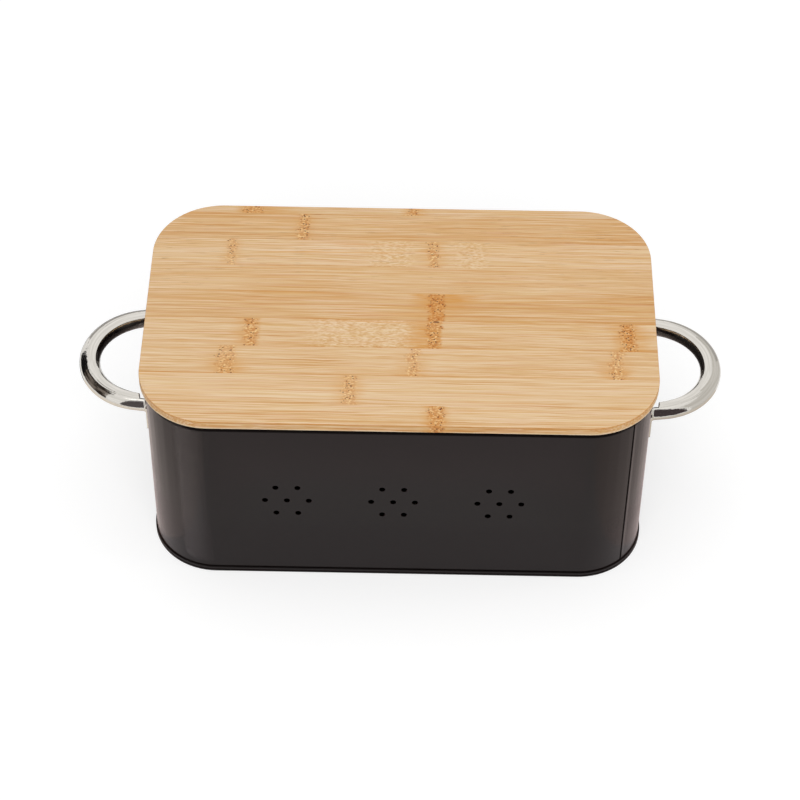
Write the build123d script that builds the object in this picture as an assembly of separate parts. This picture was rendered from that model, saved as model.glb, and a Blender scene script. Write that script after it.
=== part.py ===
from build123d import *
import math
import os

# A bread bin: a painted sheet steel bin, a lid of glued bamboo strips and a loop handle at each end.
# Millimetres. X runs along the bin, Y from its front to its back and Z up from the table.
# The origin is the middle of the base, on the table.

# The bin's wall
bin_length = 324.0
bin_width = 193.0
bin_height = 141.7
bin_corner = 42.5
bin_sheet = 0.8

# The curl along the wall's top edge
curl_radius = 1.8
curl_turn = 290.0

# The lock seam that joins the sheet's two ends on the right front corner
seam_angle = -46.9
seam_groove_width = 0.7
seam_groove_depth = 0.35
seam_fold_width = 7.0
seam_fold_sheets = 2

# The vent holes, in groups of one hole with a ring of holes round it
vent_diameter = 4.0
vent_ring_radius = 14.1
vent_ring_count = 6
vent_group_count = 3
vent_group_pitch = 68.4
vent_row_offset = -2.6
vent_row_height = 71.6

# The base pan, whose edge is folded up round the foot of the wall
pan_sheet = 0.8
pan_floor_height = 2.4
bead_height = 4.1
bead_proud = 1.0
bead_round = 0.5
hem_clearance = 0.1

# The lid
lid_overhang = 3.0
lid_edge_thickness = 6.0
lid_step_depth = 4.0
lid_step_clearance = 2.0
lid_seat_gap = 0.3
lid_top_round = 1.2
lid_under_round = 0.8
strip_width = 24.75
middle_joint_offset = -7.6

# The loop handles: a folded tube, flat towards the bin and rounded away from it
handle_height = 100.0
loop_centre_reach = 5.0
loop_half_angle = 84.0
tube_width = 13.6
tube_foot_width = 10.6
tube_depth = 10.4
tube_bulge = 5.8
tube_facet_drop = 0.8
tube_crease_slope = 22.0
tube_sheet = 1.2
notch_gap = 7.0

# The ears that fasten the handles to the wall
ear_sheet = 1.4
ear_height = 22.0
ear_reach = 8.5
ear_to_corner = 0.5
ear_bend_radius = 3.0
ear_corner = 3.0
web_height = 7.0
web_overlap = 3.0

# The rivets, flush with the ear outside and domed inside
rivet_spacing = 12.0
rivet_shank_diameter = 3.2
rivet_head_diameter = 5.2
rivet_head_depth = 0.9
rivet_dome_diameter = 6.0
rivet_dome_height = 1.4
rivet_clearance = 0.05

# Worked out from the sizes above
half_length = bin_length / 2
half_width = bin_width / 2
curl_centre_height = bin_height - curl_radius
pan_floor_top = pan_floor_height + pan_sheet
corner_centre_x = half_length - bin_corner
corner_centre_y = half_width - bin_corner
lid_underside = bin_height + lid_seat_gap
lid_top = lid_underside + lid_edge_thickness
lid_step_inset = 2 * curl_radius + lid_step_clearance
loop_centre_x = half_length + loop_centre_reach
loop_angle = math.radians(loop_half_angle)
ear_end = corner_centre_y - ear_to_corner
ear_bend = ear_end - ear_reach
ear_flat_start = ear_bend + ear_bend_radius * math.tan(loop_angle / 2)
ear_middle = (ear_flat_start + ear_end) / 2
loop_outer_radius = (
    ear_sheet / 2
    + ear_bend * math.sin(loop_angle)
    - (loop_centre_reach - ear_sheet / 2) * math.cos(loop_angle)
)
past_edge = 1.0


def outline(offset):
    """The bin's plan, grown outwards by an offset."""
    return RectangleRounded(
        bin_length + 2 * offset, bin_width + 2 * offset, bin_corner + offset
    )


def slab(offset, low, high):
    """The bin's plan as a plate between two heights."""
    return Pos(0, 0, low) * extrude(outline(offset), high - low)


def band(outer, inner, low, high):
    """A wall that follows the bin's plan between two offsets."""
    return slab(outer, low, high) - slab(inner, low, high)


def wall_profile():
    """The wall's section, from its foot to the end of its curl, about the curl's centre."""
    leg = curl_centre_height - pan_sheet
    foot = Pos(curl_radius - bin_sheet / 2, -leg / 2) * Rectangle(bin_sheet, leg)
    curl = Circle(curl_radius) - Circle(curl_radius - bin_sheet)
    reach = 4 * curl_radius
    gap_sides = [
        (reach * math.cos(math.radians(a)), reach * math.sin(math.radians(a)))
        for a in (curl_turn, (curl_turn + 360) / 2, 360)
    ]
    gap = make_face(Polyline((0, 0), *gap_sides, close=True))
    return foot + (curl - gap)


def vents():
    """Cutters for every vent hole of the front wall."""
    cutters = []
    for group in range(vent_group_count):
        centre_x = vent_row_offset + (group - (vent_group_count - 1) / 2) * vent_group_pitch
        places = [Pos(centre_x, 0, vent_row_height)]
        for hole in range(vent_ring_count):
            turn = math.radians(hole * 360 / vent_ring_count)
            across = vent_ring_radius * math.cos(turn)
            up = vent_ring_radius * math.sin(turn)
            places.append(Pos(centre_x + across, 0, vent_row_height + up))
        for place in places:
            drill = Rot(90, 0, 0) * Cylinder(vent_diameter / 2, 4 * bin_sheet)
            cutters.append(Pos(0, -half_width, 0) * place * drill)
    return cutters


def on_seam(shape):
    """Turns a shape made on the +X side of a corner to the seam of the right front corner."""
    return Pos(corner_centre_x, -corner_centre_y, 0) * Rot(0, 0, seam_angle) * shape


def seam_fold():
    """The folded sheets of the lock seam, against the inside of the wall."""
    low = pan_floor_top + past_edge
    high = curl_centre_height - 2 * curl_radius
    outer = bin_corner - bin_sheet / 2
    inner = bin_corner - bin_sheet - seam_fold_sheets * bin_sheet
    ring = extrude(Circle(outer) - Circle(inner), high - low)
    keep = Pos(bin_corner, 0, (high - low) / 2) * Box(bin_corner, seam_fold_width, high - low)
    return on_seam(Pos(0, 0, low) * (ring & keep))


def seam_groove():
    """The line that the seam leaves down the outside of the wall."""
    groove = Box(2 * seam_groove_depth, seam_groove_width, 2 * bin_height)
    return on_seam(Pos(bin_corner, 0, 0) * groove)


def wall_shell():
    path = Pos(0, 0, curl_centre_height) * outline(-curl_radius).wire()
    start = path @ 0
    along = path % 0
    section = Plane(origin=start, x_dir=along.cross(Vector(0, 0, 1)), z_dir=-along)
    shell = sweep(section * wall_profile(), path)
    shell = shell + seam_fold() - seam_groove() - vents()
    for side in (-1, 1):
        shell = shell - [rivet_place(side, *spot) * rivet_bore() for spot in rivet_spots()]
    return shell


def base_pan():
    inner = -bin_sheet - hem_clearance
    floor = slab(inner, pan_floor_height, pan_floor_top)
    inner_leg = band(inner, inner - pan_sheet, 0, pan_floor_top)
    web = band(bead_proud, inner - pan_sheet, 0, pan_sheet)
    outer_leg = band(bead_proud, hem_clearance, 0, bead_height)
    pan = floor + inner_leg + web + outer_leg
    outside = pan.edges().filter_by(Axis.Z, reverse=True)
    outside = outside.filter_by(lambda edge: on_outline(edge, bead_proud))
    return fillet(outside, bead_round)


def on_outline(edge, offset):
    """Whether the middle of an edge lies on the bin's plan grown by an offset."""
    middle = edge @ 0.5
    over_x = max(abs(middle.X) - corner_centre_x, 0)
    over_y = max(abs(middle.Y) - corner_centre_y, 0)
    return abs(math.hypot(over_x, over_y) - bin_corner - offset) < hem_clearance / 2


def lid_blank():
    """The lid before it is parted into strips: the overhanging plate and the step under it."""
    plate = slab(lid_overhang, lid_underside, lid_top)
    top_edges = plate.faces().sort_by(Axis.Z)[-1].edges()
    plate = fillet(top_edges, lid_top_round)
    under_edges = plate.faces().sort_by(Axis.Z)[0].edges()
    plate = fillet(under_edges, lid_under_round)
    step = slab(-lid_step_inset, lid_underside - lid_step_depth, lid_underside)
    step_edges = step.faces().sort_by(Axis.Z)[0].edges()
    return plate + fillet(step_edges, lid_under_round)


def lid_strips():
    """The lid's strips from its front to its back, parted along the glue lines."""
    half_lid = half_width + lid_overhang
    joints = []
    first = math.ceil((-half_lid - middle_joint_offset) / strip_width)
    joint = middle_joint_offset + first * strip_width
    while joint < half_lid:
        joints.append(joint)
        joint += strip_width
    fronts = [-half_lid - past_edge] + joints
    backs = joints + [half_lid + past_edge]
    blank = lid_blank()
    thickness = lid_edge_thickness + lid_step_depth
    strips = []
    for front, back in zip(fronts, backs):
        room = Box(bin_length + 4 * lid_overhang, back - front, 2 * thickness)
        strips.append(blank & Pos(0, (front + back) / 2, lid_underside) * room)
    return strips


def tube_section(inset):
    """The tube's section, with its outermost point at the origin and the bin towards -X."""
    half = tube_depth / 2 - inset
    flat = half - tube_facet_drop
    slope = math.radians(tube_crease_slope)
    crease = (-tube_bulge, half)
    bulge_end = (-inset, 0)
    leaving = (math.cos(slope), -math.sin(slope))
    upper = Spline(crease, bulge_end, tangents=[leaving, (0, -1)])
    lower = mirror(upper, about=Plane.XZ)

    def at_width(width):
        flat_x = -width + inset
        back = Polyline(crease, (flat_x, flat), (flat_x, -flat), (-tube_bulge, -half))
        return make_face([upper, lower, back])

    return at_width


def loop_stations():
    """Places along the loop's outermost line, foot to foot: point, outward angle and tube width."""
    arc_end_x = loop_centre_x + loop_outer_radius * math.cos(loop_angle)
    leg = (arc_end_x - half_length - notch_gap) / math.sin(loop_angle)
    arc = loop_outer_radius * loop_angle
    reaches = [0, 0.2, 0.4, 0.6, 0.75, 0.88, 1]
    places = []
    for reach in [-r for r in reversed(reaches[1:])] + reaches:
        way = abs(reach) * (arc + leg)
        side = math.copysign(1, reach)
        turn = min(way / loop_outer_radius, loop_angle)
        past_arc = max(way - arc, 0)
        x = loop_centre_x + loop_outer_radius * math.cos(turn) - past_arc * math.sin(turn)
        y = loop_outer_radius * math.sin(turn) + past_arc * math.cos(turn)
        width = tube_width - (tube_width - tube_foot_width) * abs(reach) ** 6
        places.append((x, side * y, side * math.degrees(turn), width))
    return places


def loop_tube(inset):
    """The tube's outside, or its hollow where the inset is the sheet's thickness."""
    section = tube_section(inset)
    faces = []
    for x, y, turn, width in loop_stations():
        outward = Vector(1, 0, 0).rotate(Axis.Z, turn)
        along = outward.rotate(Axis.Z, 90)
        place = Plane(origin=(x, y, handle_height), x_dir=outward, z_dir=-along)
        faces.append(place * section(width))
    return loft(faces)


def ear_strip(side):
    """The web and ear of one foot: it runs on from the tube, then bends to lie on the wall."""
    foot_x, foot_y, _, _ = loop_stations()[-1]
    back_x = math.sin(loop_angle)
    back_y = math.cos(loop_angle)
    mid_x = half_length + ear_sheet / 2
    start_x = foot_x - ear_sheet / 2 * back_y + web_overlap * back_x
    start_y = foot_y - ear_sheet / 2 * back_x - web_overlap * back_y
    points = [(start_x, start_y), (mid_x, ear_bend), (mid_x, ear_end)]
    line = FilletPolyline(*points, radius=ear_bend_radius)
    strip = extrude(trace(line, ear_sheet), ear_height / 2, both=True)
    strip = Pos(0, 0, handle_height) * strip

    half_web = web_height / 2
    half_ear = ear_height / 2
    rise = half_ear - half_web
    flare_end = half_length + ear_sheet + ear_bend_radius
    for up in (-1, 1):
        corners = [
            (flare_end + past_edge, handle_height + up * (half_ear + past_edge)),
            (flare_end, handle_height + up * half_ear),
            (foot_x, handle_height + up * half_web),
            (foot_x + 2 * web_overlap, handle_height + up * half_web),
            (foot_x + 2 * web_overlap, handle_height + up * (half_ear + rise)),
            (flare_end + past_edge, handle_height + up * (half_ear + rise)),
        ]
        cut = make_face(Polyline(*corners, close=True))
        strip = strip - extrude(Plane.XZ * cut, 2 * half_width, both=True)
    tips = strip.edges().filter_by(Axis.X).sort_by(Axis.Y)[-2:]
    strip = fillet(tips, ear_corner)
    return strip if side > 0 else mirror(strip, about=Plane.XZ)


def rivet_spots():
    """Each rivet's Y and Z."""
    return [
        (along * ear_middle, handle_height + up * rivet_spacing / 2)
        for along in (-1, 1)
        for up in (-1, 1)
    ]


def rivet_place(side, y, z):
    """Where a rivet goes: its own +Z points out of the wall, from the wall's outer face."""
    return Pos(side * half_length, y, z) * Rot(0, side * 90, 0)


def rivet_bore():
    radius = rivet_shank_diameter / 2 + rivet_clearance
    return Cylinder(radius, 6 * bin_sheet)


def rivet_outline(clearance, inner_end):
    """Half of a rivet's section, from its flush head down to its inner end."""
    head = rivet_head_diameter / 2 + clearance
    shank = rivet_shank_diameter / 2 + clearance
    return [
        (0, inner_end),
        (0, ear_sheet),
        (head, ear_sheet),
        (shank, ear_sheet - rivet_head_depth),
        (shank, inner_end),
    ]


def ear_bore():
    """The countersunk hole that a rivet fills in an ear."""
    points = rivet_outline(rivet_clearance, -past_edge)
    return revolve(Plane.XZ * make_face(Polyline(*points, close=True)), Axis.Z)


def rivet():
    """One rivet, with the dome that closes it inside the bin."""
    rim = rivet_dome_diameter / 2
    tip = -bin_sheet - rivet_dome_height
    sphere = (rim**2 + rivet_dome_height**2) / (2 * rivet_dome_height)
    half_way = math.asin(rim / sphere) / 2
    on_dome = (sphere * math.sin(half_way), tip + sphere * (1 - math.cos(half_way)))
    points = rivet_outline(0, -bin_sheet)
    side = Polyline((0, tip), *points[1:], (rim, -bin_sheet))
    dome = ThreePointArc((rim, -bin_sheet), on_dome, (0, tip))
    return revolve(Plane.XZ * make_face([side, dome]), Axis.Z)


def handle(side):
    tube = loop_tube(0) - loop_tube(tube_sheet)
    loop = tube + ear_strip(1) + ear_strip(-1)
    loop = loop - [rivet_place(1, *spot) * ear_bore() for spot in rivet_spots()]
    return loop if side > 0 else mirror(loop, about=Plane.YZ)


def rivets(side):
    return Compound([rivet_place(side, *spot) * rivet() for spot in rivet_spots()])


nodes = {
    "wall_shell": wall_shell(),
    "base_pan": base_pan(),
    "handle_left": handle(-1),
    "handle_right": handle(1),
    "left_handle_rivets": rivets(-1),
    "right_handle_rivets": rivets(1),
}
for number, strip in enumerate(lid_strips(), start=1):
    nodes[f"lid_strip_{number}"] = strip

os.makedirs("parts", exist_ok=True)
for name, shape in nodes.items():
    export_step(shape, f"parts/{name}.step")
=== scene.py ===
import math
from collections import namedtuple

import bmesh
import bpy
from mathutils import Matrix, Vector


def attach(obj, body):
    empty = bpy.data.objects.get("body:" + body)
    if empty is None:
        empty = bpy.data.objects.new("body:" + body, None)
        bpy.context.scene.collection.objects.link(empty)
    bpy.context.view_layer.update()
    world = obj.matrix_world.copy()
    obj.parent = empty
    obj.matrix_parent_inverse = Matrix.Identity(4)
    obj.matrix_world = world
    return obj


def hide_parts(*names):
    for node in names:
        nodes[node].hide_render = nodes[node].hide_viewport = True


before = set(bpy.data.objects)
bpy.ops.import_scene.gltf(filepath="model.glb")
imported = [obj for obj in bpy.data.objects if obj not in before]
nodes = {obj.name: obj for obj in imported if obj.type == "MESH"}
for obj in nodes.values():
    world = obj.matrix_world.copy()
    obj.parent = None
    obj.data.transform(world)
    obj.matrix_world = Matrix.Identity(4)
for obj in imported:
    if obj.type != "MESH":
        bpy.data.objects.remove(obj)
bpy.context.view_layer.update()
scene = bpy.context.scene

MM = 0.001


# Sizes that several sections share

BIN_HALF_LENGTH = 162.0 * MM
BIN_HALF_DEPTH = 96.5 * MM
BIN_CORNER = 42.5 * MM
LID_OVERHANG = 3.0 * MM
LID_HALF_LENGTH = BIN_HALF_LENGTH + LID_OVERHANG
LID_HALF_DEPTH = BIN_HALF_DEPTH + LID_OVERHANG
LID_CORNER = BIN_CORNER + LID_OVERHANG
LID_TOP = 148.0 * MM
LID_FOOT = LID_TOP - 6.0 * MM
LOOP_CENTRE = 167.0 * MM


# Sums and faces

def lerp(a, b, share):
    return a + (b - a) * share


def smooth(value, start, end):
    """0 up to the start, 1 from the end on, and a smooth rise between them."""
    share = min(max((value - start) / (end - start), 0.0), 1.0)
    return share * share * (3 - 2 * share)


def bridge(first, second, count):
    """The faces between two rings of points, given the number of each ring's first point."""
    faces = []
    for i in range(count):
        j = (i + 1) % count
        faces.append((first + i, first + j, second + j, second + i))
    return faces


# The camera

CAMERA_PLACE = (10.707 * MM, -1162.556 * MM, 1307.274 * MM)
CAMERA_TURN = (43.0994, -0.4271, 0.9706)
CAMERA_LENS = 113.99
CAMERA_SENSOR = 36.0
CAMERA_REACH = 100


def add_camera():
    data = bpy.data.cameras.new("camera")
    data.lens = CAMERA_LENS
    data.sensor_width = CAMERA_SENSOR
    data.clip_end = CAMERA_REACH
    camera = bpy.data.objects.new("camera", data)
    camera.location = CAMERA_PLACE
    camera.rotation_euler = [math.radians(angle) for angle in CAMERA_TURN]
    scene.collection.objects.link(camera)
    scene.camera = camera


# Shader building

def add(tree, kind, inputs=None, **settings):
    """Adds a node. An input is a number, a colour or another node's output."""
    node = tree.nodes.new(kind)
    for name, value in settings.items():
        setattr(node, name, value)
    for socket, value in (inputs or {}).items():
        if isinstance(value, bpy.types.NodeSocket):
            tree.links.new(value, node.inputs[socket])
        else:
            node.inputs[socket].default_value = value
    return node


def maths(tree, operation, *values):
    return add(tree, "ShaderNodeMath", dict(enumerate(values)), operation=operation).outputs[0]


def total(tree, first, *others):
    for value in others:
        first = maths(tree, "ADD", first, value)
    return first


def product(tree, first, *others):
    for value in others:
        first = maths(tree, "MULTIPLY", first, value)
    return first


def ramp(tree, value, low, high, to_low=0.0, to_high=1.0):
    """Maps low..high smoothly to to_low..to_high."""
    inputs = {"Value": value, "From Min": low, "From Max": high, "To Min": to_low, "To Max": to_high}
    node = add(tree, "ShaderNodeMapRange", inputs, interpolation_type="SMOOTHSTEP")
    return node.outputs["Result"]


def swing(tree, value, size, middle=0.5):
    """A noise's swing about its middle, times a size."""
    return product(tree, maths(tree, "SUBTRACT", value, middle), size)


def mix(tree, factor, a, b):
    """Mixes two colours, from the first at a factor of 0 to the second at 1.

    The node's sockets for colours are 6 and 7, and its output for them is 2.
    """
    return add(tree, "ShaderNodeMix", {0: factor, 6: a, 7: b}, data_type="RGBA").outputs[2]


def colour(red, green, blue):
    """A colour given as it looks on a screen, from 0 to 255."""
    def linear(value):
        value /= 255
        return value / 12.92 if value <= 0.04045 else ((value + 0.055) / 1.055) ** 2.4
    return (linear(red), linear(green), linear(blue), 1.0)


def millimetres(tree):
    """The object's own coordinates in millimetres."""
    place = add(tree, "ShaderNodeTexCoord").outputs["Object"]
    return add(tree, "ShaderNodeVectorMath", {0: place, "Scale": 1 / MM}, operation="SCALE").outputs[0]


def split(tree, place):
    """A place's three coordinates."""
    return add(tree, "ShaderNodeSeparateXYZ", {0: place}).outputs


def vector(tree, x, y, z):
    return add(tree, "ShaderNodeCombineXYZ", {0: x, 1: y, 2: z}).outputs[0]


def noise(tree, place, scale, detail=2.0, roughness=0.5):
    inputs = {"Vector": place, "Scale": scale, "Detail": detail, "Roughness": roughness}
    return add(tree, "ShaderNodeTexNoise", inputs).outputs["Fac"]


def material(name):
    """A new material, its node tree and its shader."""
    made = bpy.data.materials.new(name)
    made.use_nodes = True
    tree = made.node_tree
    shader = tree.nodes["Principled BSDF"]
    return made, tree, shader


def relief(tree, shader, rough, height, strength, depth):
    """Gives a shader its roughness and a bump, whose depth is in metres."""
    tree.links.new(rough, shader.inputs["Roughness"])
    bump = add(tree, "ShaderNodeBump", {"Height": height, "Strength": strength, "Distance": depth})
    tree.links.new(bump.outputs[0], shader.inputs["Normal"])


def dress(node, made):
    """Gives a node of the construction a material."""
    nodes[node].data.materials.clear()
    nodes[node].data.materials.append(made)


# The studio, in metres

FLOOR_SIZE = 12.0

# The floor's colour as it lights the object and as it is seen, and its glow in gloss and in the camera
FLOOR_COLOUR = (0.80, 0.80, 0.80, 1.0)
FLOOR_SEEN = (0.5, 0.5, 0.5, 1.0)
FLOOR_LIFT = 0.52
FLOOR_LIFT_SEEN = 0.61

SKY_LIGHT = 0.45
MIDDLE_HEIGHT = 0.1
PANEL_STEPS = 16
PANEL_LEAN_POWER = 2.5
SHEET_HEIGHT = 0.0004
GLOW_HEIGHT = 0.0006
GLOW_HEIGHT_STEP = 0.0001
BAND_HEIGHT = 0.0012
BAND_CORNER_STEPS = 12

# Where each corner glow begins at the wall and where its far corner lies, along the bin
CORNER_GLOWS = ((-0.122, -0.215), (-0.127, -0.250), (-0.132, -0.290), (-0.137, -0.340))


def backdrop_ray(tree):
    """1 for rays that see the background directly, in a mirror or through glass."""
    path = add(tree, "ShaderNodeLightPath").outputs
    seen = maths(tree, "MAXIMUM", path["Is Camera Ray"], path["Is Glossy Ray"])
    return maths(tree, "MAXIMUM", seen, path["Is Transmission Ray"])


def add_world():
    world = bpy.data.worlds.new("studio")
    world.use_nodes = True
    tree = world.node_tree
    strength = ramp(tree, backdrop_ray(tree), 0.0, 1.0, SKY_LIGHT, 1.0)
    background = tree.nodes["Background"]
    background.inputs["Color"].default_value = (1, 1, 1, 1)
    tree.links.new(strength, background.inputs["Strength"])
    scene.world = world


def staged(name, points, faces):
    """A piece of the studio."""
    mesh = bpy.data.meshes.new(name)
    mesh.from_pydata(points, [], faces)
    made = bpy.data.objects.new(name, mesh)
    scene.collection.objects.link(made)
    return made


def plane(name, height, corners):
    """A level piece of the studio, with one face."""
    return staged(name, [(x, y, height) for x, y in corners], [tuple(range(len(corners)))])


def rectangle(left, front, right, back):
    return [(left, front), (right, front), (right, back), (left, back)]


def studio_finish(made, name):
    """A new material on a piece of the studio, with no shader yet. Returns its node tree."""
    finish, tree, shader = material(name)
    tree.nodes.remove(shader)
    made.data.materials.append(finish)
    return tree


def show(tree, surface):
    tree.links.new(surface, tree.nodes["Material Output"].inputs["Surface"])


def both(tree, surface, glow):
    return add(tree, "ShaderNodeAddShader", {0: surface, 1: glow}).outputs[0]


def add_floor():
    """A pale floor, which the camera and the gloss see nearer to white than it lights the object."""
    half = FLOOR_SIZE / 2
    floor = plane("floor", 0.0, rectangle(-half, -half, half, half))
    tree = studio_finish(floor, "pale floor")
    seen = backdrop_ray(tree)
    shade = mix(tree, seen, FLOOR_COLOUR, FLOOR_SEEN)
    diffuse = add(tree, "ShaderNodeBsdfDiffuse", {"Color": shade}).outputs[0]
    eye = add(tree, "ShaderNodeLightPath").outputs["Is Camera Ray"]
    lift = product(tree, seen, ramp(tree, eye, 0.0, 1.0, FLOOR_LIFT, FLOOR_LIFT_SEEN))
    glow = add(tree, "ShaderNodeEmission", {"Strength": lift}).outputs[0]
    show(tree, both(tree, diffuse, glow))


def for_gloss_only(made):
    """Hides a piece of the studio from all but gloss. Returns its new material's node tree."""
    made.visible_camera = False
    made.visible_shadow = False
    made.visible_diffuse = False
    return studio_finish(made, made.name)


def add_panel(name, centre, azimuths, heights, radius, dark, pale=None, lean=0.0, fade=None):
    """A glowing patch of a sphere round a point beside the bin, seen only in the object's gloss.

    It lies between two bearings and two heights in degrees. The lean is how many degrees its top is
    turned back. The pale colour comes in clouds, or upwards between the two heights of the fade in
    millimetres.
    """
    points = []
    faces = []
    for column in range(PANEL_STEPS + 1):
        for row in range(PANEL_STEPS + 1):
            up = row / PANEL_STEPS
            height = math.radians(lerp(*heights, up))
            turned = lerp(*azimuths, column / PANEL_STEPS) - lean * up**PANEL_LEAN_POWER
            bearing = math.radians(turned)
            out = radius * math.cos(height)
            points.append((centre + out * math.cos(bearing), out * math.sin(bearing),
                           MIDDLE_HEIGHT + radius * math.sin(height)))
            if column and row:
                last = len(points) - 1
                faces.append((last, last - 1, last - PANEL_STEPS - 2, last - PANEL_STEPS - 1))
    tree = for_gloss_only(staged(name, points, faces))
    place = millimetres(tree)
    shade = dark + (1,)
    if pale:
        share = split(tree, place)[2] if fade else noise(tree, place, scale=0.008, detail=3.0)
        low, high = fade or (0.45, 0.62)
        shade = mix(tree, ramp(tree, share, low, high), shade, pale + (1,))
    show(tree, add(tree, "ShaderNodeEmission", {"Color": shade}).outputs[0])


def tinted(made, tint, added):
    """Makes a piece on the floor tint what the gloss sees through it, and add a glow to it."""
    tree = for_gloss_only(made)
    clear = add(tree, "ShaderNodeBsdfTransparent", {"Color": tint + (1,)}).outputs[0]
    glow = add(tree, "ShaderNodeEmission", {"Color": added + (1,)}).outputs[0]
    show(tree, both(tree, clear, glow))


def add_sheet(name, height, corners, tint, added):
    """A sheet that lies on the floor, beside the bin."""
    sheet = plane(name, height, corners)
    tinted(sheet, tint, added)
    return sheet


def corner_glows():
    """Sheets that overlap off the left front corner, so that their glow grows towards the left."""
    made = []
    for step, (start, far) in enumerate(CORNER_GLOWS):
        corners = [(start, -0.104 + 0.001 * step), (far, -0.42), (-0.450, -0.240), (-0.150, -0.097)]
        height = GLOW_HEIGHT + GLOW_HEIGHT_STEP * step
        made.append(add_sheet(f"corner_glow_{step + 1}", height, corners,
                              tint=(1.0, 1.0, 1.0), added=(0.16, 0.15, 0.15)))
    return made


def rounded(half_length, half_depth, corner):
    """Points along a rounded rectangle."""
    points = []
    for quarter in range(4):
        sign_x = 1 if quarter in (0, 3) else -1
        sign_y = 1 if quarter < 2 else -1
        for step in range(BAND_CORNER_STEPS + 1):
            angle = math.radians(90 * quarter + 90 * step / BAND_CORNER_STEPS)
            points.append((sign_x * (half_length - corner) + corner * math.cos(angle),
                           sign_y * (half_depth - corner) + corner * math.sin(angle)))
    return points


def add_band(name, inner, outer, tint):
    """A band on the floor round the bin's foot, between two distances from its wall."""
    points = []
    for way in (inner, outer):
        outline = rounded(BIN_HALF_LENGTH + way, BIN_HALF_DEPTH + way, BIN_CORNER + way)
        points += [(x, y, BAND_HEIGHT) for x, y in outline]
    count = len(points) // 2
    band = staged(name, points, bridge(0, count, count))
    tinted(band, tint, added=(0.0, 0.0, 0.0))


def shine_on(sheets, objects):
    """Makes the sheets on the floor glow for these objects alone."""
    group = bpy.data.collections.new("painted")
    for made in objects:
        group.objects.link(made)
    for sheet in sheets:
        sheet.light_linking.receiver_collection = group


def add_light(name, place, width, height, power):
    """A soft light that points at the bin and isn't seen in its gloss."""
    data = bpy.data.lights.new(name, "AREA")
    data.shape = "RECTANGLE"
    data.size = width
    data.size_y = height
    data.energy = power
    light = bpy.data.objects.new(name, data)
    light.location = place
    aim = [t - p for t, p in zip((0, 0, MIDDLE_HEIGHT), place)]
    light.rotation_euler = Vector(aim).to_track_quat("-Z", "Y").to_euler()
    light.visible_glossy = False
    scene.collection.objects.link(light)


add_camera()
add_world()
add_floor()
add_panel("dim_front", centre=0.0, azimuths=(226, 270), heights=(-3, 74), radius=1.2,
          dark=(0.10, 0.09, 0.095), pale=(0.8, 0.8, 0.84), fade=(920, 1265))
add_panel("dark_front", centre=0.0, azimuths=(270, 326), heights=(-3, 74), radius=1.2,
          dark=(0.065, 0.052, 0.056), pale=(0.7, 0.68, 0.7), fade=(1080, 1290))
add_panel("black_left", centre=-0.2, azimuths=(137, 163), heights=(-8, 48), radius=0.5,
          dark=(0.008, 0.008, 0.009), lean=30)
add_panel("brown_left", centre=-0.2, azimuths=(138, 214), heights=(-4, 66), radius=0.51,
          dark=(0.03, 0.024, 0.02), pale=(0.22, 0.19, 0.17), lean=28)
add_panel("white_front", centre=-0.1, azimuths=(195, 325), heights=(66, 86), radius=1.3,
          dark=(1.8, 1.8, 1.8))
add_panel("grey_left", centre=-0.2, azimuths=(70, 122), heights=(-10, 25), radius=0.5,
          dark=(0.42, 0.41, 0.40))
add_panel("grey_right", centre=0.2, azimuths=(-42, 85), heights=(-20, 62), radius=0.28,
          dark=(0.72, 0.71, 0.69))
add_panel("back_right", centre=0.2, azimuths=(48, 112), heights=(-10, 22), radius=0.27,
          dark=(0.48, 0.47, 0.46))
floor_sheets = [
    add_sheet("left_sheet", SHEET_HEIGHT, rectangle(-0.50, -0.40, -0.164, 0.05),
              tint=(0.95, 0.88, 0.80), added=(0.32, 0.28, 0.30)),
    add_sheet("right_sheet", SHEET_HEIGHT, rectangle(0.164, -0.40, 0.50, 0.05),
              tint=(0.73, 0.67, 0.60), added=(0.40, 0.34, 0.36)),
    add_sheet("back_sheet", SHEET_HEIGHT, rectangle(-0.30, 0.05, -0.17, 0.40),
              tint=(0.03, 0.03, 0.03), added=(0.97, 0.97, 0.97)),
    add_sheet("front_sheet", SHEET_HEIGHT, [(-0.16, -0.45), (0.16, -0.45), (0.13, -0.18), (-0.13, -0.18)],
              tint=(1.0, 1.0, 1.0), added=(0.14, 0.06, 0.07)),
]
floor_sheets += corner_glows()
# Dark bands seen only in gloss: painted shade of the floor round the bin's foot, as its reflections show
# it
add_band("foot_shade", inner=0.0, outer=0.002, tint=(0.10, 0.10, 0.10))
add_band("near_shade", inner=0.002, outer=0.040, tint=(0.94, 0.92, 0.94))
add_light("softbox", (-0.4, 0.3, 1.9), width=1.8, height=1.8, power=11.6)
add_light("front_box", (0.0, -1.9, 1.5), width=2.0, height=1.0, power=20)
add_light("right_box", (1.6, 0.0, 0.9), width=1.0, height=1.0, power=5)


# Paint and metal

PAINT = (0.0050, 0.0036, 0.0034, 1)
PAINT_GLOSS_TINT = (1.0, 0.9, 0.88, 1)
PAINT_SHEEN_TINT = (1.0, 0.5, 0.4, 1)
STEEL_DARK = (0.50, 0.49, 0.47, 1)
STEEL_PALE = (0.62, 0.61, 0.59, 1)
CHROME_DARK = (0.65, 0.62, 0.57, 1)
CHROME_PALE = (0.74, 0.71, 0.66, 1)
MARKS_PER_RADIAN = 2.5


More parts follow.
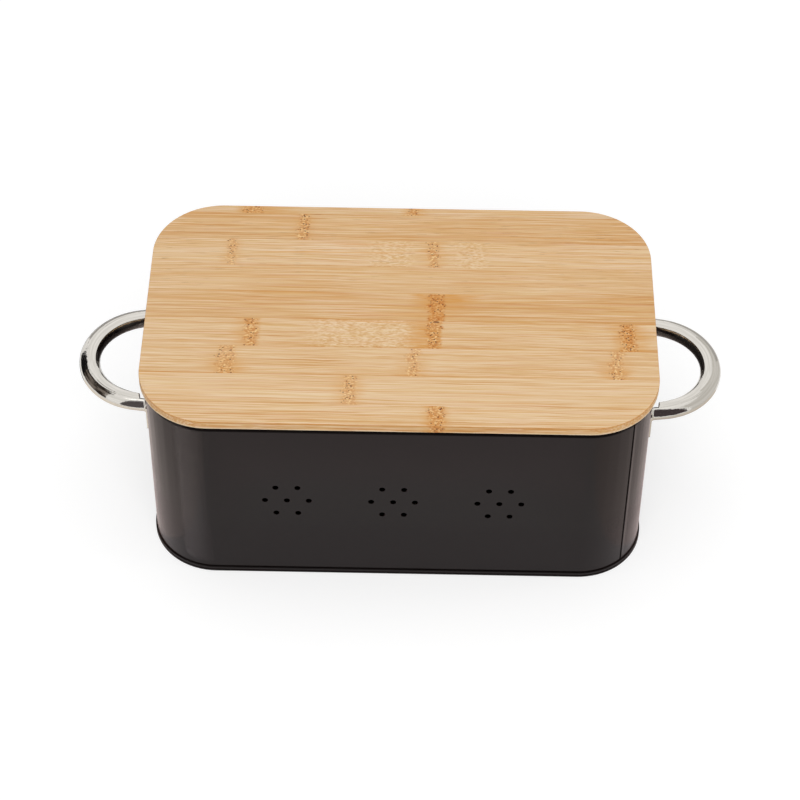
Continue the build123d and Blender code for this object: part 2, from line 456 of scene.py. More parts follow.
def black_paint():
    """Black paint with fine flecks and an uneven gloss."""
    made, tree, shader = material("black paint")
    place = millimetres(tree)
    shader.inputs["Base Color"].default_value = PAINT
    shader.inputs["Specular IOR Level"].default_value = 0.25
    shader.inputs["Specular Tint"].default_value = PAINT_GLOSS_TINT
    shader.inputs["Sheen Weight"].default_value = 0.12
    shader.inputs["Sheen Roughness"].default_value = 0.35
    shader.inputs["Sheen Tint"].default_value = PAINT_SHEEN_TINT
    rough = ramp(tree, noise(tree, place, scale=0.04, detail=3.0), 0.3, 0.7, 0.20, 0.27)
    flecks = noise(tree, place, scale=1.4, detail=3.0, roughness=0.6)
    relief(tree, shader, rough, flecks, strength=0.02, depth=0.2 * MM)
    return made


def rivet_steel():
    """Bright steel with a fine grain."""
    made, tree, shader = material("rivet steel")
    grain = noise(tree, millimetres(tree), scale=2.2, detail=3.0, roughness=0.6)
    shade = mix(tree, ramp(tree, grain, 0.35, 0.65), STEEL_DARK, STEEL_PALE)
    tree.links.new(shade, shader.inputs["Base Color"])
    shader.inputs["Metallic"].default_value = 1.0
    rough = ramp(tree, grain, 0.3, 0.7, 0.24, 0.36)
    relief(tree, shader, rough, grain, strength=0.1, depth=0.1 * MM)
    return made


def chrome():
    """Chrome that is a little uneven, with faint polishing marks that run round the loop."""
    made, tree, shader = material("chrome")
    place = millimetres(tree)
    x, y, z = split(tree, place)
    out = maths(tree, "SUBTRACT", maths(tree, "ABSOLUTE", x), LOOP_CENTRE / MM)
    squares = maths(tree, "MULTIPLY_ADD", out, out, product(tree, y, y))
    bearing = maths(tree, "ARCTAN2", y, out)
    track = vector(tree, product(tree, bearing, MARKS_PER_RADIAN), maths(tree, "SQRT", squares), z)
    marks = noise(tree, track, scale=0.9, detail=3.0, roughness=0.6)
    shade = mix(tree, ramp(tree, marks, 0.35, 0.65), CHROME_DARK, CHROME_PALE)
    tree.links.new(shade, shader.inputs["Base Color"])
    shader.inputs["Metallic"].default_value = 1.0
    rough = ramp(tree, noise(tree, place, scale=0.2, detail=4.0), 0.3, 0.7, 0.07, 0.14)
    waves = noise(tree, place, scale=0.2)
    relief(tree, shader, rough, waves, strength=0.5, depth=0.3 * MM)
    return made


# The bamboo, in millimetres

# Places along and across a strip are from the lid's middle, and heights from under the bin.

# A strip has its tone at its left and right ends, from 0, pale, to 1, orange, how broken its grain is,
# from 0, long streaks, to 1, short dashes, its knuckles, and where its patches of open pores begin
# and end.
Strip = namedtuple("Strip", "left_tone right_tone broken knuckles pores", defaults=((),))

# A knuckle has its middle along the strip, half its width, how far its colour fades to the left and
# to the right, how dark its core and its stain are, and a fade of 1 where its stain weakens towards
# the back, or of -1 where it weakens towards the front.
Knuckle = namedtuple("Knuckle", "middle half left right core stain fade", defaults=(0,))

STRIPS = {
    1: Strip(0.40, 0.40, 0.4, [Knuckle(24, 5, 7, 5, 1.15, 0.7)]),
    2: Strip(0.31, 0.36, 0.2, [Knuckle(-31, 5, 10, 7, 0.5, 0.45)]),
    3: Strip(0.39, 0.44, 0.6, [Knuckle(-110, 6, 14, 10, 0.55, 0.8, 1),
                               Knuckle(9, 4.5, 12, 9, 0.5, 0.5, 1),
                               Knuckle(139, 4.5, 14, 8, 0.6, 0.8, 1)]),
    4: Strip(0.35, 0.39, 0.7, [Knuckle(-96, 5, 10, 2, 0.9, 0.6),
                               Knuckle(22, 4.5, 19, 1, 1.0, 1.0),
                               Knuckle(147, 5, 10, 12, 1.2, 0.8)], [(-66, 14)]),
    5: Strip(0.57, 0.68, 0.3, [Knuckle(23.5, 5.5, 14, 30, 1.5, 1.2, -1)]),
    6: Strip(0.47, 0.53, 0.2, []),
    7: Strip(0.38, 0.36, 0.6, [Knuckle(-112.5, 3.5, 6, 5, 0.5, 0.4),
                               Knuckle(21, 3.5, 10, 8, 0.6, 0.45)], [(-30, 12), (26, 62)]),
    8: Strip(0.55, 0.63, 0.3, [Knuckle(-66, 4, 6, 6, 0.75, 0.3)]),
    9: Strip(0.55, 0.34, 0.4, [Knuckle(-101, 7, 6, 30, 0.8, 0.8),
                               Knuckle(7, 4, 6, 9, 0.9, 0.7)]),
}
FIFTH_MIDDLE = 5.4
STRIP_WIDTH = 24.75
TONES = ((0.0, colour(235, 209, 173)), (0.35, colour(226, 193, 150)), (0.65, colour(214, 170, 115)),
         (1.0, colour(201, 142, 76)))
ROSY = colour(226, 184, 154)
YELLOW = colour(221, 184, 124)
GOLD = colour(217, 154, 78)
KNUCKLE_STAIN = colour(211, 150, 74)
KNUCKLE_CORE = colour(207, 142, 70)
KNUCKLE_BROWN = colour(178, 100, 36)
KNUCKLE_CREAM = colour(245, 215, 158)
DOT = colour(88, 38, 10)
HAIRLINE = colour(136, 92, 52)
HAIRLINE_STRIPS = (6, 7, 8)
# The heights of the lid's side, between which it gets its painted shade and painted bounce light
SIDE_TOP = LID_TOP / MM - 0.02
SIDE_FOOT = LID_FOOT / MM + 0.5

# How fast the grain changes down a strip's side, and how far apart two strips lie in its noises
GRAIN_DOWN = 0.4
GRAIN_APART = 7.3

PORES_RISE = 20
PORES_FALL = 12
FADE_REACH = 9
SCAR_STRIP = 4
SCAR_PLACE = (23.3, -8.3)
SCAR_HALF_SIZE = (2.2, 0.7)


def strip_middle(number):
    return FIFTH_MIDDLE + (number - 5) * STRIP_WIDTH


def tone_colour(tree, tone):
    node = add(tree, "ShaderNodeValToRGB", {0: tone})
    stops = node.color_ramp.elements
    for place, _ in TONES[1:-1]:
        stops.new(place)
    for stop, (place, shade) in zip(stops, TONES):
        stop.position = place
        stop.color = shade
    return node.outputs["Color"]


def stretched(tree, place, along, across):
    """A place for a noise whose features are longer along the strip than across it."""
    x, y, z = place
    return vector(tree, product(tree, x, along), product(tree, y, across), z)


def fibres(tree, place, along, across, scale=1.0, detail=1.0, roughness=0.5):
    """A noise with so many features a millimetre along and across the strip, times the scale."""
    return noise(tree, stretched(tree, place, along, across), scale, detail, roughness)


def slanted(tree, place, slope):
    """Short slanted dashes, like the open pores beside a knuckle."""
    x, y, z = place
    leaning = maths(tree, "MULTIPLY_ADD", y, slope, product(tree, x, 0.30))
    rising = maths(tree, "MULTIPLY_ADD", x, -0.3 * slope, product(tree, y, 1.3))
    return noise(tree, vector(tree, leaning, rising, z), scale=1.0, detail=1.0)


def strip_grain(tree, place, broken, streak, fibre):
    """How much darker or paler than its tone the strip is, from its streaks, dashes and thin lines."""
    band = fibres(tree, place, along=0.005, across=0.22, detail=2.0)
    dash = fibres(tree, place, along=0.055, across=2.2)
    dark = fibres(tree, place, along=0.008, across=2.1, detail=0.0)
    pale = fibres(tree, place, along=0.012, across=1.7, scale=1.3, detail=0.0)
    return total(tree, swing(tree, band, 0.36), swing(tree, streak, 1.2 - 0.5 * broken),
                 swing(tree, dash, 0.25 + 0.8 * broken), swing(tree, fibre, 1.5),
                 ramp(tree, dark, 0.60, 0.68, 0.0, 0.42), ramp(tree, pale, 0.62, 0.70, 0.0, -0.34))


def open_pores(tree, place, grain, start, end):
    """The grain with a patch of open pores in it."""
    rise = ramp(tree, place[0], start, start + PORES_RISE)
    fall = ramp(tree, place[0], end - PORES_FALL, end, 1.0, 0.0)
    inside = product(tree, rise, fall)
    dashes = maths(tree, "MAXIMUM", slanted(tree, place, 0.5), slanted(tree, place, -0.5))
    mottle = swing(tree, dashes, 2.3, 0.555)
    keep = maths(tree, "SUBTRACT", 1.0, product(tree, inside, 0.75))
    return maths(tree, "MULTIPLY_ADD", mottle, inside, product(tree, grain, keep))


def painted_side_light(tree, height):
    """Painted light and shade on the lid's side, added to the tone: pale painted bounce light at its foot,
    painted shade above it, and the darkest painted shade in a crease under its top edge.
    """
    # Painted shade on the side, with pale painted bounce light at its foot
    body = product(tree, ramp(tree, height, SIDE_FOOT, SIDE_FOOT + 1.2, -0.6, 0.3),
                   ramp(tree, height, SIDE_TOP - 0.5, SIDE_TOP, 1.0, 0.0),
                   ramp(tree, height, SIDE_FOOT - 0.7, SIDE_FOOT - 0.5))
    # A crease of painted shade under the top edge, over its round
    crease = product(tree, ramp(tree, height, SIDE_TOP - 1.4, SIDE_TOP - 0.7),
                     ramp(tree, height, SIDE_TOP - 0.06, SIDE_TOP, 0.6, 0.0))
    return total(tree, body, crease)


def glue_line(tree, number, place):
    """A thin line that comes and goes where two strips meet."""
    aside = maths(tree, "ABSOLUTE", maths(tree, "SUBTRACT", place[1], strip_middle(number)))
    near = ramp(tree, aside, STRIP_WIDTH / 2 - 0.75, STRIP_WIDTH / 2 - 0.25)
    share = fibres(tree, place, along=0.012, across=0.04)
    return product(tree, near, ramp(tree, share, 0.38, 0.62, 0.05, 0.42))


def coloured_streaks(tree, number, place, shade):
    """Rosy, yellow and golden streaks, and on some strips a few dark hairlines."""
    tint = fibres(tree, place, along=0.012, across=1.2, scale=1.7)
    shade = mix(tree, ramp(tree, tint, 0.54, 0.66, 0.0, 0.40), shade, ROSY)
    shade = mix(tree, ramp(tree, tint, 0.34, 0.46, 0.45, 0.0), shade, YELLOW)
    gold = fibres(tree, place, along=0.006, across=1.6, scale=1.5, detail=0.0)
    shade = mix(tree, ramp(tree, gold, 0.68, 0.76, 0.0, 0.6), shade, GOLD)
    if number in HAIRLINE_STRIPS:
        hair = fibres(tree, place, along=0.035, across=1.5, scale=2.3, detail=0.0)
        shade = mix(tree, ramp(tree, hair, 0.77, 0.83, 0.0, 0.75), shade, HAIRLINE)
    return shade


def zone(tree, x, ragged, middle, half, left, right, raggedness):
    """1 inside a stretch of a strip, fading to 0 past its ends, which follow the fibres."""
    from_middle = maths(tree, "SUBTRACT", x, middle)
    near_left = total(tree, from_middle, swing(tree, ragged, raggedness + 1.8 * left))
    near_right = total(tree, from_middle, swing(tree, ragged, raggedness + 1.8 * right))
    rise = ramp(tree, near_left, -half - left, -half + 1)
    fall = ramp(tree, near_right, half - 1, half + right, 1.0, 0.0)
    return product(tree, rise, fall)


def knuckle(tree, number, place, shade, knot):
    """A knuckle across a strip: a stain along the fibres, and a speckled core with dark dots."""
    x, y, _ = place
    ragged = fibres(tree, place, along=0.05, across=1.1, detail=2.0, roughness=0.6)
    stain = zone(tree, x, ragged, knot.middle, knot.half, knot.left, knot.right, raggedness=5.0)
    uneven = fibres(tree, place, along=0.2, across=0.5, scale=0.5, detail=3.0, roughness=0.7)
    core = zone(tree, x, uneven, knot.middle, knot.half - 1.5, left=3.0, right=2.5, raggedness=7.0)

    streaky = fibres(tree, place, along=0.05, across=0.9, scale=1.4)
    cover = product(tree, stain, ramp(tree, streaky, 0.32, 0.62, knot.stain, 0.45 * knot.stain))
    if knot.fade:
        middle = strip_middle(number)
        spread = knot.fade * FADE_REACH
        cover = product(tree, cover, ramp(tree, y, middle - spread, middle + spread, 1.0, 0.2))
    shade = mix(tree, cover, shade, KNUCKLE_STAIN)

    cloud = ramp(tree, noise(tree, vector(tree, *place), scale=0.16, detail=1.0), 0.38, 0.58, 0.65, 1.0)
    solid = product(tree, core, cloud, knot.core)
    shade = mix(tree, product(tree, solid, 0.8), shade, KNUCKLE_CORE)
    fleck = fibres(tree, place, along=0.6, across=1.0)
    brown = product(tree, solid, ramp(tree, fleck, 0.50, 0.64, 0.0, 0.5))
    shade = mix(tree, brown, shade, KNUCKLE_BROWN)
    paleness = 0.75 * min(max(1.9 - knot.core, 0.2), 1.0)
    cream = product(tree, core, ramp(tree, fleck, 0.33, 0.47, paleness, 0.0))
    shade = mix(tree, cream, shade, KNUCKLE_CREAM)

    grid = stretched(tree, place, along=0.55, across=0.62)
    cell = add(tree, "ShaderNodeTexVoronoi", {"Vector": grid, "Scale": 1.0, "Randomness": 0.9})
    chosen = ramp(tree, noise(tree, grid, scale=0.6, detail=0.0), 0.46, 0.54)
    spot = ramp(tree, cell.outputs["Distance"], 0.22, 0.36, min(0.55 + 0.5 * knot.core, 1.0), 0.0)
    return mix(tree, product(tree, spot, chosen, core), shade, DOT)


def scar(tree, x, y, shade):
    """A small dark scar at a strip's back edge."""
    dx = maths(tree, "DIVIDE", maths(tree, "SUBTRACT", x, SCAR_PLACE[0]), SCAR_HALF_SIZE[0])
    dy = maths(tree, "DIVIDE", maths(tree, "SUBTRACT", y, SCAR_PLACE[1]), SCAR_HALF_SIZE[1])
    reach = total(tree, product(tree, dx, dx), product(tree, dy, dy))
    return mix(tree, ramp(tree, reach, 0.4, 1.4, 0.9, 0.0), shade, DOT)


def bamboo(number):
    """One strip's bamboo. Its fibres wander a little, but its glue lines and the scar lie straight."""
    strip = STRIPS[number]
    made, tree, shader = material(f"bamboo {number}")
    x, y, height = split(tree, millimetres(tree))
    z = total(tree, product(tree, height, GRAIN_DOWN), number * GRAIN_APART)
    straight = (x, y, z)
    wander = swing(tree, fibres(tree, straight, along=0.014, across=0.05), 3.0)
    ripple = swing(tree, fibres(tree, straight, along=0.07, across=0.25), 1.6 * strip.broken)
    place = (x, total(tree, y, total(tree, wander, ripple)), z)

    streak = fibres(tree, place, along=0.010, across=1.9)
    fibre = fibres(tree, place, along=0.03, across=3.4, detail=2.0, roughness=0.6)
    grain = strip_grain(tree, place, strip.broken, streak, fibre)
    for start, end in strip.pores:
        grain = open_pores(tree, place, grain, start, end)

    lid_end = LID_HALF_LENGTH / MM
    along = {"Value": x, "From Min": -lid_end, "From Max": lid_end,
             "To Min": strip.left_tone, "To Max": strip.right_tone}
    lean = add(tree, "ShaderNodeMapRange", along).outputs["Result"]
    # The lid's side adds painted shade and painted bounce light to the tone
    tone = total(tree, lean, painted_side_light(tree, height), glue_line(tree, number, straight))
    shade = tone_colour(tree, total(tree, grain, tone))
    shade = coloured_streaks(tree, number, place, shade)
    for knot in strip.knuckles:
        shade = knuckle(tree, number, place, shade, knot)
    if number == SCAR_STRIP:
        shade = scar(tree, x, y, shade)
    tree.links.new(shade, shader.inputs["Base Color"])

    shader.inputs["Specular IOR Level"].default_value = 0.35
    rough = ramp(tree, streak, 0.3, 0.7, 0.42, 0.55)
    relief(tree, shader, rough, fibre, strength=0.15, depth=0.2 * MM)
    return made


# The handles

# A handle is a folded tube with two flat facets, a groove where each meets the rounded outside, and
# at each foot an ear that the outer sheet runs on into. A section's points are given across the tube,
# from its outermost line, and up from its middle. Where a size has a second one for the foot, it
# changes towards the foot.
HANDLE_HEIGHT = 100.0 * MM
LOOP_RADIUS = 45.0 * MM
LOOP_HALF_ANGLE = math.radians(84)
LOOP_STATIONS = 121
ABOUT_HALF_LOOP = 1.5 * LOOP_RADIUS
NOTCH_GAP = 7.2 * MM
TUBE_HALF_DEPTH = 5.2 * MM
INNER_EDGE = 11.2 * MM
INNER_EDGE_FOOT = 10.4 * MM
INNER_BULGE = 2.4 * MM
INNER_BULGE_FOOT = 0.9 * MM
INNER_ARC = math.radians(65)
INNER_STEPS = 6
FACET_DROP = 0.8 * MM
FACET_ROUND = 0.45 * MM
FACET_ROUND_STEPS = 4
FACET_POINTS = (0.3, 0.7)
GROOVE_HALF = 0.28 * MM
GROOVE_DEPTH = 0.15 * MM
GROOVE_RISE = (0.1, 0.6)
BULGE = 5.8 * MM
BULGE_FOOT = 4.4 * MM
BULGE_POWER = 2.0
BULGE_POWER_FOOT = 1.5
BULGE_START = 0.06
BULGE_STEPS = 14
TUBE_SHEET = 0.6 * MM
TUBE_HOLLOW = 3.0 * MM
FOOT_SKEW = 1.5 * MM
FOOT_SKEW_START = 0.93

# The lip at an open foot, and the shares of it by which each ring of its round is turned in and
# stands out
TUBE_LIP = 0.6 * MM
LIP_RINGS = ((0.12, 0.5), (0.45, 0.87), (1.0, 1.0))

EAR_SHEET = 1.4 * MM
EAR_HALF_HEIGHT = 11.0 * MM
EAR_CORNER = 3.0 * MM
EAR_END = 53.5 * MM
EAR_BEND_RADIUS = 3.0 * MM
EAR_STEPS = 10
EAR_NARROWER_INSIDE = 0.12
WEB_OVERLAP = 5.0 * MM
WEB_STEPS = 12
BEND_STEPS = 12
FLAT_STEPS = 16

# The ear starts sunk under the tube's skin, and stands a little proud of it from a share of the
# overlap on. On the wall the rivets' heads stand proud of the ear, and the ear clears the wall.
EAR_SUNK = 0.2 * MM
EAR_PROUD = 0.04 * MM
EAR_PROUD_FROM = 0.7
RIVET_PROUD = 0.06 * MM
EAR_CLEARANCE = 0.02 * MM

# Ways along the ear between which it widens above, widens below and flattens
FLARE_ABOVE = (9.0 * MM, 12.6 * MM)
FLARE_BELOW = (7.9 * MM, 12.9 * MM)
FLATTENING = (8.0 * MM, 11.6 * MM)
HANDLE_SHARP = math.radians(32)


def bulge_point(share, half_depth, depth, power):
    """A point of the rounded outside, from the crease at share 0 to the outermost point at 1."""
    angle = share * math.pi / 2
    across = -depth * (1 - math.sin(angle) ** (2 / power))
    up = half_depth * abs(math.cos(angle)) ** (2 / power)
    return across, up


def tube_section(reach, groove, inset=0.0):
    """The tube's upper half, from the middle of its inner side over the facet to its outermost point.

    The reach is 0 in the loop's middle and 1 at its feet. An inset gives the hollow inside the sheet.
    """
    share = reach**9
    power = lerp(BULGE_POWER, BULGE_POWER_FOOT, reach**3)
    edge = lerp(INNER_EDGE, INNER_EDGE_FOOT, share)
    inner = lerp(INNER_BULGE, INNER_BULGE_FOOT, share)
    bulge = lerp(BULGE, BULGE_FOOT, share)
    low = TUBE_HALF_DEPTH - FACET_DROP - FACET_ROUND
    points = []
    for step in range(INNER_STEPS + 1):
        angle = INNER_ARC * step / INNER_STEPS
        crown = inner * (math.cos(angle) - math.cos(INNER_ARC)) / (1 - math.cos(INNER_ARC))
        points.append((-edge - crown, low * (math.sin(angle) / math.sin(INNER_ARC))))
    for step in range(1, FACET_ROUND_STEPS + 1):
        angle = math.radians(180 - 90 * step / FACET_ROUND_STEPS)
        points.append((-edge + FACET_ROUND * (1 + math.cos(angle)), low + FACET_ROUND * math.sin(angle)))
    crease = -bulge - GROOVE_HALF
    start = points[-1]
    points += [(lerp(start[0], crease, part), lerp(start[1], TUBE_HALF_DEPTH, part))
               for part in FACET_POINTS]
    points += [(crease, TUBE_HALF_DEPTH), (-bulge, TUBE_HALF_DEPTH - groove)]
    for step in range(BULGE_STEPS + 1):
        part = BULGE_START + (1 - BULGE_START) * step / BULGE_STEPS
        points.append(bulge_point(part, TUBE_HALF_DEPTH, bulge, power))
    if inset:
        half = edge / 2
        points = [(-half + (across + half) * (1 - inset / half), up * (1 - inset / TUBE_HALF_DEPTH))
                  for across, up in points]
    return points


def whole_section(reach, groove, inset=0.0):
    """Both halves of the tube's section."""
    upper = tube_section(reach, groove, inset)
    return upper + [(across, -up) for across, up in reversed(upper[1:-1])]


def loop_place(reach):
    """The outermost line's point and outward angle at a reach from -1, one foot, to 1, the other."""
    arc_end = LOOP_CENTRE + LOOP_RADIUS * math.cos(LOOP_HALF_ANGLE)
    leg = (arc_end - BIN_HALF_LENGTH - NOTCH_GAP) / math.sin(LOOP_HALF_ANGLE)
    arc = LOOP_RADIUS * LOOP_HALF_ANGLE
    way = abs(reach) * (arc + leg)
    turn = min(way / LOOP_RADIUS, LOOP_HALF_ANGLE)
    past = max(way - arc, 0.0)
    x = LOOP_CENTRE + LOOP_RADIUS * math.cos(turn) - past * math.sin(turn)
    y = LOOP_RADIUS * math.sin(turn) + past * math.cos(turn)
    side = math.copysign(1.0, reach)
    return x, side * y, side * turn


def ring_at(x, y, turn, section):
    """A section's points, set up across the outermost line."""
    return [(x + across * math.cos(turn), y + across * math.sin(turn), HANDLE_HEIGHT + up)
            for across, up in section]


def loft(rings):
    """A closed skin over rings of equally many points, with flat ends."""
    count = len(rings[0])
    points = [point for ring in rings for point in ring]
    faces = []
    for number in range(len(rings) - 1):
        faces += bridge(number * count, (number + 1) * count, count)
    faces.append(tuple(reversed(range(count))))
    last = (len(rings) - 1) * count
    faces.append(tuple(range(last, last + count)))
    return points, faces


def tube_ring(reach, section, past=0.0):
    """A section set up along the loop or past its foot, where its inner side is cut back."""
    x, y, turn = loop_place(reach)
    out = (-math.sin(abs(turn)), math.copysign(math.cos(turn), reach))
    skew = FOOT_SKEW * smooth(abs(reach), FOOT_SKEW_START, 1)
    ring = []
    for (across, _), point in zip(section, ring_at(x, y, turn, section)):
        inner = min(max((-across - BULGE_FOOT) / (INNER_EDGE_FOOT - BULGE_FOOT), 0.0), 1.0)
        move = past - skew * inner
        ring.append((point[0] + out[0] * move, point[1] + out[1] * move, point[2]))
    return ring


def tube_foot(reach):
    """The rings past a foot: its rounded lip, and the hollow of the folded sheet inside it."""
    rings = [tube_ring(reach, whole_section(1.0, 0.0, inset * TUBE_LIP), past * TUBE_LIP)
             for inset, past in LIP_RINGS]
    mouth = whole_section(1.0, 0.0, TUBE_LIP + TUBE_SHEET)
    rings.append(tube_ring(reach, mouth, TUBE_LIP))
    rings.append(tube_ring(reach, mouth, -TUBE_HOLLOW))
    return rings


def tube_skin():
    """The loop, with a lip and a hollow at both feet."""
    rings = []
    for station in range(LOOP_STATIONS):
        reach = 2 * station / (LOOP_STATIONS - 1) - 1
        groove = GROOVE_DEPTH * smooth(abs(reach), *GROOVE_RISE)
        rings.append(tube_ring(reach, whole_section(abs(reach), groove)))
    return loft(list(reversed(tube_foot(-1))) + rings + tube_foot(1))


def ear_path():
    """The ear's outer face in plan, from inside the tube to its end: point, outward angle and way."""
    x, y, turn = loop_place(1.0)
    back = (math.sin(turn), -math.cos(turn))
    start = (x + back[0] * WEB_OVERLAP, y + back[1] * WEB_OVERLAP)
    face = BIN_HALF_LENGTH + EAR_SHEET
    run = (x - face) / back[0]
    cut = EAR_BEND_RADIUS * math.tan(turn / 2)
    bend = (face + back[0] * cut, y - back[1] * run + back[1] * cut)
    centre = (bend[0] + math.cos(turn) * EAR_BEND_RADIUS, bend[1] + math.sin(turn) * EAR_BEND_RADIUS)
    places = []
    way = 0.0

    def put(px, py, angle):
        nonlocal way
        if places:
            way += math.hypot(px - places[-1][0], py - places[-1][1])
        places.append((px, py, angle, way))

    for step in range(WEB_STEPS + 1):
        share = step / WEB_STEPS
        put(lerp(start[0], bend[0], share), lerp(start[1], bend[1], share), turn)
    for step in range(1, BEND_STEPS + 1):
        angle = lerp(turn, 0.0, step / BEND_STEPS)
        put(centre[0] - math.cos(angle) * EAR_BEND_RADIUS,
            centre[1] - math.sin(angle) * EAR_BEND_RADIUS, angle)
    flat_start = places[-1][1]
    for step in range(1, FLAT_STEPS + 1):
        share = math.sin(step / FLAT_STEPS * math.pi / 2)
        put(face, lerp(flat_start, EAR_END, share), 0.0)
    return places


def ear_skin():
    """The outer sheet as it leaves the tube, flattens, widens and lies on the wall."""
    places = ear_path()
    end = places[-1][3]
    rings = []
    for x, y, turn, way in places:
        flat = smooth(way, *FLATTENING)
        to_end = end - way
        corner = 0.0
        if to_end < EAR_CORNER:
            corner = EAR_CORNER - math.sqrt(max(EAR_CORNER**2 - (EAR_CORNER - to_end) ** 2, 0.0))
        top = lerp(TUBE_HALF_DEPTH, EAR_HALF_HEIGHT, smooth(way, *FLARE_ABOVE)) - corner
        bottom = lerp(TUBE_HALF_DEPTH, EAR_HALF_HEIGHT, smooth(way, *FLARE_BELOW)) - corner
        reach = min(1 - (WEB_OVERLAP - way) / ABOUT_HALF_LOOP, 1.0)
        depth = lerp(BULGE, BULGE_FOOT, reach**9) * (1 - flat)
        upper = [bulge_point(step / EAR_STEPS, top, depth, BULGE_POWER_FOOT)
                 for step in range(EAR_STEPS + 1)]
        lower = [bulge_point(step / EAR_STEPS, bottom, depth, BULGE_POWER_FOOT)
                 for step in reversed(range(EAR_STEPS))]
        shift = lerp(-EAR_SUNK, EAR_PROUD, min(way / (EAR_PROUD_FROM * WEB_OVERLAP), 1.0))
        shift -= (RIVET_PROUD + EAR_PROUD) * flat
        sheet = EAR_SHEET - (RIVET_PROUD + EAR_CLEARANCE) * flat
        outer = [(across + shift, up) for across, up in upper]
        outer += [(across + shift, -up) for across, up in lower]
        narrower = 1 - EAR_NARROWER_INSIDE * (1 - flat)
        inner = [(across - sheet, up * narrower) for across, up in reversed(outer)]
        rings.append(ring_at(x, y, turn, outer + inner))
    return loft(rings)


def smooth_shaded(mesh, sharp):
    """Shades a mesh smoothly, but for edges that bend by more than the sharp angle."""
    for polygon in mesh.polygons:
        polygon.use_smooth = True
    mesh.set_sharp_from_angle(angle=sharp)


def handle(side, name, node, finish):
    """One whole handle. Side is 1 for the right one and -1 for the left one."""
    points, faces = tube_skin()
    ear_points, ear_faces = ear_skin()
    for end in (1, -1):
        start = len(points)
        points += [(x, end * y, z) for x, y, z in ear_points]
        turned = ear_faces if end > 0 else [tuple(reversed(face)) for face in ear_faces]
        faces += [tuple(start + i for i in face) for face in turned]
    if side < 0:
        points = [(-x, y, z) for x, y, z in points]
        faces = [tuple(reversed(face)) for face in faces]
    mesh = bpy.data.meshes.new(name)
    mesh.from_pydata(points, [], faces)
    mesh.validate()
    made = bpy.data.objects.new(name, mesh)
    scene.collection.objects.link(made)
    shell = bmesh.new()
    shell.from_mesh(mesh)
    bmesh.ops.recalc_face_normals(shell, faces=shell.faces)
    shell.to_mesh(mesh)
    shell.free()
    smooth_shaded(mesh, HANDLE_SHARP)
    mesh.materials.append(finish)
    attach(made, "bin")
    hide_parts(node)


# The wall's and the strips' own skins, with details finer than the construction

LID_ROUND = 1.2 * MM
LID_FOOT_ROUND = 0.8 * MM

# The share of a round that is left, and how many radii of its faces a point of it lies within
EDGE_KEPT = 0.35
EDGE_SLACK = 1.03

NECK_START = 135.4 * MM
NECK_END = 138.2 * MM
NECK_DEPTH = 1.2 * MM
NECK_STEPS = 6
SEAM_BEARING = math.radians(-46.9)
SEAM_OUT = (math.cos(SEAM_BEARING), math.sin(SEAM_BEARING))
SEAM_MIDDLE = (BIN_HALF_LENGTH - BIN_CORNER, BIN_CORNER - BIN_HALF_DEPTH)
SEAM_HALF_GROOVE = 0.42 * MM
SEAM_WIDENING = 1.6
SEAM_DEEPENING = 0.25 * MM
SEAM_RIDGE = 0.35 * MM
SEAM_RIDGE_END = 3.2 * MM
SEAM_RIDGE_RAISED = 0.9 * SEAM_RIDGE_END
SEAM_CUTS = (0.9 * MM, 2.0 * MM, SEAM_RIDGE_END)

# Points of the wall deeper than the first are the groove's floor, and deeper than the second its inside
GROOVE_FLOOR = 0.2 * MM
OUTER_SKIN = 0.6 * MM
MERGE_DISTANCE = 0.002 * MM
CUT_DISTANCE = 0.001 * MM
SKIN_SHARP = math.radians(28)


def to_outline(x, y, half_length, half_depth, corner):
    """How far inside a rounded rectangle a point is, and the way outwards there."""
    dx = abs(x) - (half_length - corner)
    dy = abs(y) - (half_depth - corner)
    if dx > 0 and dy > 0:
        reach = math.hypot(dx, dy)
        inside, nx, ny = corner - reach, dx / reach, dy / reach
    elif dx > dy:
        inside, nx, ny = corner - dx, 1.0, 0.0
    else:
        inside, nx, ny = corner - dy, 0.0, 1.0
    return inside, math.copysign(nx, x), math.copysign(ny, y)


def skin(node, name, body, finish, planes, move):
    """A copy of a construction skin, cut along planes and with its points moved, in the node's place."""
    shape = bmesh.new()
    shape.from_mesh(nodes[node].data)
    bmesh.ops.remove_doubles(shape, verts=shape.verts, dist=MERGE_DISTANCE)
    for point, normal in planes:
        cut = shape.verts[:] + shape.edges[:] + shape.faces[:]
        bmesh.ops.bisect_plane(shape, geom=cut, plane_co=point, plane_no=normal, dist=CUT_DISTANCE)
    for vert in shape.verts:
        vert.co = move(*vert.co)
    mesh = bpy.data.meshes.new(name)
    shape.to_mesh(mesh)
    shape.free()
    if "custom_normal" in mesh.attributes:
        mesh.attributes.remove(mesh.attributes["custom_normal"])
    made = bpy.data.objects.new(name, mesh)
    scene.collection.objects.link(made)
    for polygon in mesh.polygons:
        polygon.material_index = 0
    smooth_shaded(mesh, SKIN_SHARP)
    mesh.materials.clear()
    mesh.materials.append(finish)
    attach(made, body)
    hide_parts(node)
    return made


def lid_point(x, y, z):
    """A crisper round at the top edge and at the bottom edge."""
    inside, nx, ny = to_outline(x, y, LID_HALF_LENGTH, LID_HALF_DEPTH, LID_CORNER)
    down = LID_TOP - z
    up = z - LID_FOOT
    shift = max(inside, 0.0) * (1 - EDGE_KEPT)
    if inside < LID_ROUND * EDGE_SLACK and down < LID_ROUND * EDGE_SLACK:
        return x + nx * shift, y + ny * shift, z + down * (1 - EDGE_KEPT)
    if inside < LID_FOOT_ROUND * EDGE_SLACK and up < LID_FOOT_ROUND * EDGE_SLACK:
        return x + nx * shift, y + ny * shift, z - up * (1 - EDGE_KEPT)
    return x, y, z


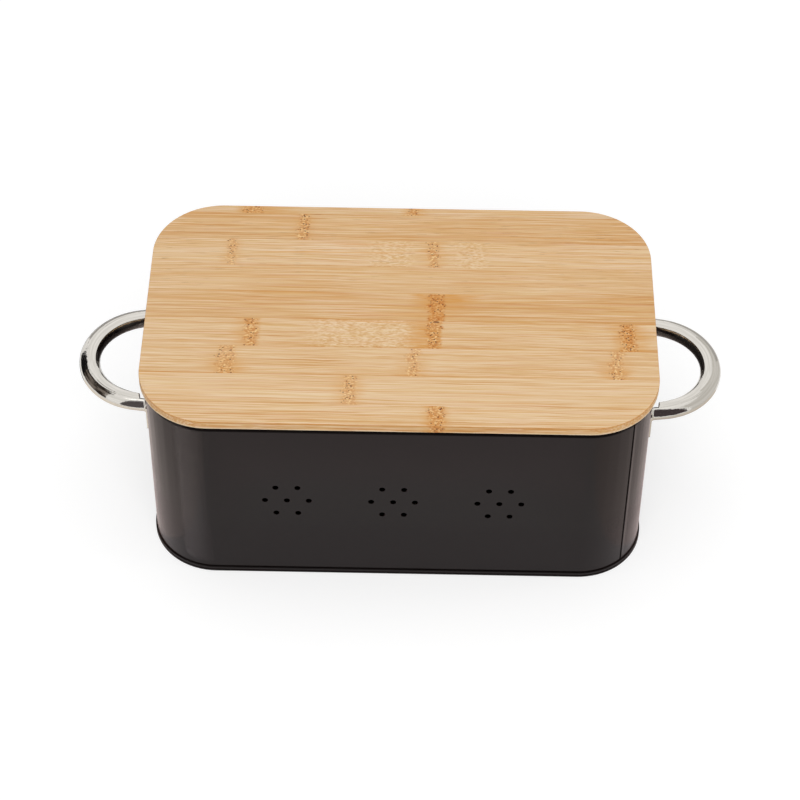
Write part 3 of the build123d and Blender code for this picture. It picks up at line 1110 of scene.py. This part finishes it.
def seam_place(x, y):
    """How far a point is to the right of the seam, seen from outside, and from its corner's middle."""
    dx, dy = x - SEAM_MIDDLE[0], y - SEAM_MIDDLE[1]
    return dy * SEAM_OUT[0] - dx * SEAM_OUT[1], dx * SEAM_OUT[0] + dy * SEAM_OUT[1]


def wall_point(x, y, z):
    """The neck under the lid, and the seam's groove and ridge."""
    inside, nx, ny = to_outline(x, y, BIN_HALF_LENGTH, BIN_HALF_DEPTH, BIN_CORNER)
    inwards = NECK_DEPTH * smooth(z, NECK_START, NECK_END)
    if x > 0 > y and z < NECK_END and inside < OUTER_SKIN:
        aside, reach = seam_place(x, y)
        if reach > 0 and abs(aside) < SEAM_HALF_GROOVE:
            grown = aside * (SEAM_WIDENING - 1)
            x -= SEAM_OUT[1] * grown
            y += SEAM_OUT[0] * grown
            if inside > GROOVE_FLOOR:
                inwards += SEAM_DEEPENING
        elif reach > 0 and 0 < aside < SEAM_RIDGE_RAISED:
            inwards -= SEAM_RIDGE * (1 - aside / SEAM_RIDGE_END)
    return x - nx * inwards, y - ny * inwards, z


def wall_planes():
    """Level cuts through the neck, and upright ones beside the seam."""
    cuts = [((0, 0, lerp(NECK_START, NECK_END, step / NECK_STEPS)), (0, 0, 1))
            for step in range(NECK_STEPS + 1)]
    for aside in SEAM_CUTS:
        point = (SEAM_MIDDLE[0] - SEAM_OUT[1] * aside, SEAM_MIDDLE[1] + SEAM_OUT[0] * aside, 0)
        cuts.append((point, (-SEAM_OUT[1], SEAM_OUT[0], 0)))
    return cuts


# The object

paint = black_paint()
dress("wall_shell", paint)
dress("base_pan", paint)
wall = skin("wall_shell", "painted_wall", "bin", paint, wall_planes(), wall_point)
metal = chrome()
steel = rivet_steel()
dress("handle_left", metal)
dress("handle_right", metal)
dress("left_handle_rivets", steel)
dress("right_handle_rivets", steel)
handle(-1, "loop_handle_left", "handle_left", metal)
handle(1, "loop_handle_right", "handle_right", metal)
for number in STRIPS:
    finish = bamboo(number)
    dress(f"lid_strip_{number}", finish)
    skin(f"lid_strip_{number}", f"bamboo_strip_{number}", "lid", finish, [], lid_point)
shine_on(floor_sheets, [wall, nodes["base_pan"]])

scene.view_settings.view_transform = "Standard"
